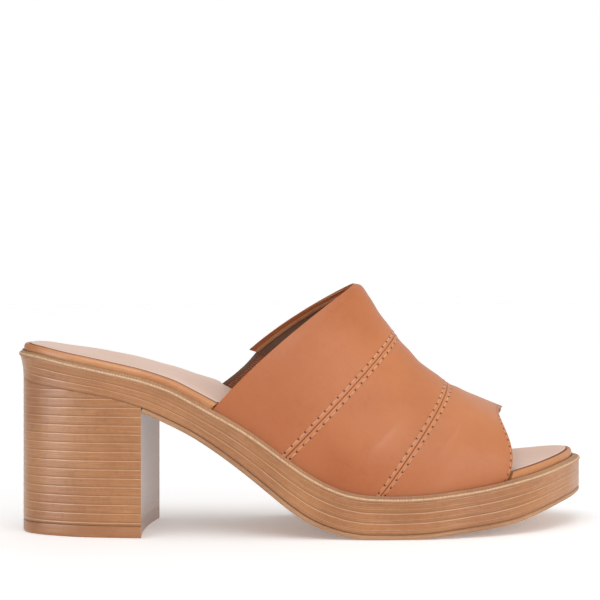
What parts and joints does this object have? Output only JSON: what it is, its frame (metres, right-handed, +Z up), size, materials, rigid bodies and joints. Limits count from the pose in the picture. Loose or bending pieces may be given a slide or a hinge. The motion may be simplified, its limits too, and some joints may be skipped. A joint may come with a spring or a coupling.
{
  "type": "slide sandal",
  "caption": "Right-foot tan leather heeled mule with an open toe and back, stacked-look block heel and moulded platform sole.",
  "frame": {"origin": "middle of the plan outline at the floor", "axes": "+X from the heel to the toe, +Y to the inner side of the foot, +Z up"},
  "size_m": [0.2422, 0.0846, 0.1032],
  "materials": {
    "tan_leather": "smooth vegetable-tanned leather with a soft sheen",
    "stacked_sole": "moulded stacked-leather look, satin",
    "tread_rubber": "matt moulded rubber",
    "welt_leather": "pale rand with transverse wheel marks",
    "footbed_leather": "smooth wrapped leather edge",
    "sock_leather": "pale unfinished lining leather",
    "gore_elastic": "ribbed dark elastic"
  },
  "bodies": {
    "root": {"heel_lift": "tread_rubber", "heel_block": "stacked_sole", "outsole": "tread_rubber", "platform": "stacked_sole", "welt": "welt_leather", "footbed": "footbed_leather", "sock": "sock_leather", "upper": "tan_leather", "gore": "gore_elastic"}
  },
  "joints": []
}
